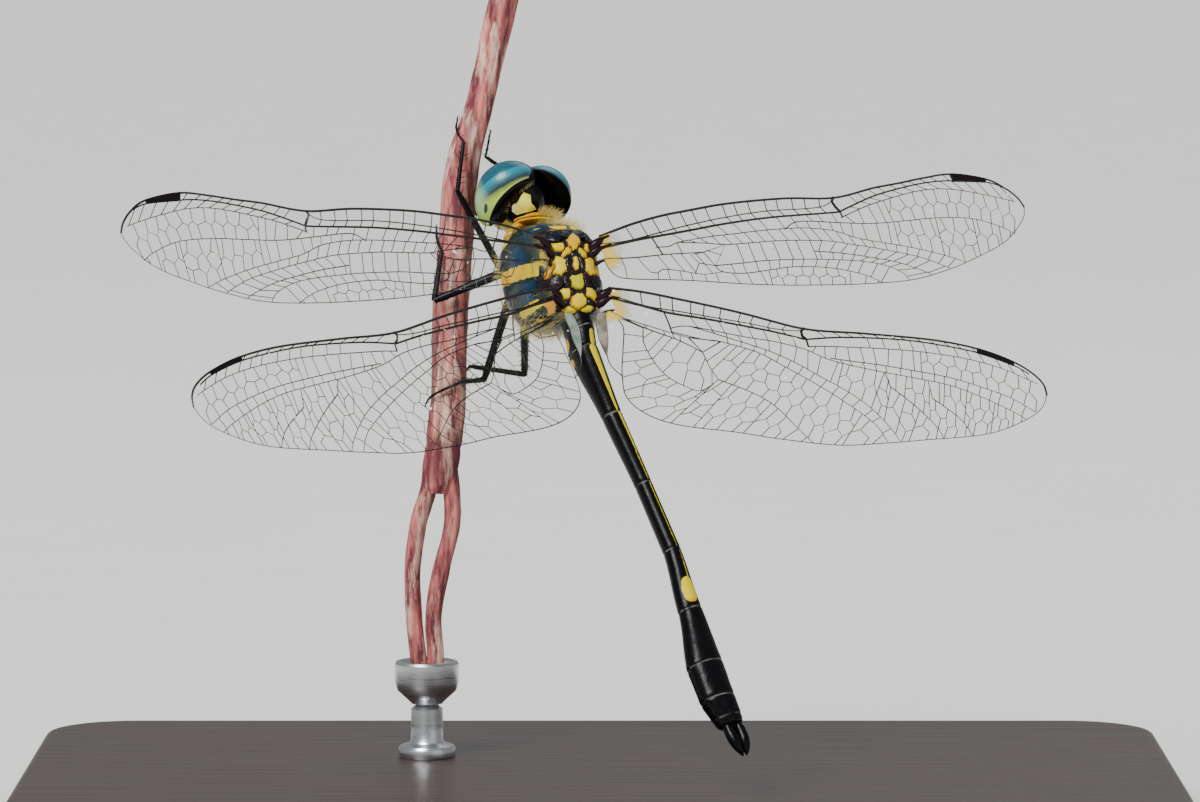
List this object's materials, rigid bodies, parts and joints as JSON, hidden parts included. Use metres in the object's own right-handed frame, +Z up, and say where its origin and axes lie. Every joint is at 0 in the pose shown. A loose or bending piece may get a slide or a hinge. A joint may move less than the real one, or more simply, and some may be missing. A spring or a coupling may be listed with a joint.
{
  "type": "perched dragonfly model",
  "caption": "Life-size still dragonfly with outspread clear wings, clinging to a cut length of forked stem that stands in a cup on a rod and flat base.",
  "frame": {"origin": "middle of the underside of the stand's base, on the floor", "axes": "+X to the right along the base's length and across the spread wings, +Y away from the viewer, +Z up; the insect faces up the stem with its back towards -Y"},
  "size_m": [0.064, 0.044, 0.0474],
  "materials": {
    "stand_wood": "satin dark stain",
    "stand_steel": "brushed",
    "bark": "dry reddish bark",
    "thorax_blue": "metallic blue-black shell with yellow marks",
    "collar_yellow": "satin",
    "eye_teal": "polished",
    "face_yellow": "satin",
    "shell_black": "polished",
    "wing_membrane": "clear, thin and faintly iridescent"
  },
  "bodies": {
    "root": {"stand_base": "stand_wood", "stand_rod": "stand_steel", "stand_cup": "stand_steel", "perch_stem": "bark", "perch_strand_left": "bark", "perch_strand_right": "bark", "thorax": "thorax_blue", "prothorax": "collar_yellow", "eye_left": "eye_teal", "eye_right": "eye_teal", "antenna_left": "shell_black", "antenna_right": "shell_black", "face": "face_yellow", "mouthparts": "face_yellow", "head_nape": "shell_black", "abdomen_01": "shell_black", "abdomen_02": "shell_black", "abdomen_03": "shell_black", "abdomen_04": "shell_black", "abdomen_05": "shell_black", "abdomen_06": "shell_black", "abdomen_07": "shell_black", "abdomen_08": "shell_black", "abdomen_09": "shell_black", "abdomen_10": "shell_black", "cercus_left": "shell_black", "cercus_right": "shell_black", "epiproct": "shell_black", "wing_fore_left": "wing_membrane", "wing_fore_right": "wing_membrane", "wing_hind_left": "wing_membrane", "wing_hind_right": "wing_membrane", "leg_fore_left_femur": "shell_black", "leg_fore_left_tibia": "shell_black", "leg_fore_left_tarsus": "shell_black", "leg_fore_right_femur": "shell_black", "leg_fore_right_tibia": "shell_black", "leg_fore_right_tarsus": "shell_black", "leg_mid_left_femur": "shell_black", "leg_mid_left_tibia": "shell_black", "leg_mid_left_tarsus": "shell_black", "leg_mid_right_femur": "shell_black", "leg_mid_right_tibia": "shell_black", "leg_mid_right_tarsus": "shell_black", "leg_hind_left_femur": "shell_black", "leg_hind_left_tibia": "shell_black", "leg_hind_left_tarsus": "shell_black", "leg_hind_right_femur": "shell_black", "leg_hind_right_tibia": "shell_black", "leg_hind_right_tarsus": "shell_black"}
  },
  "joints": []
}
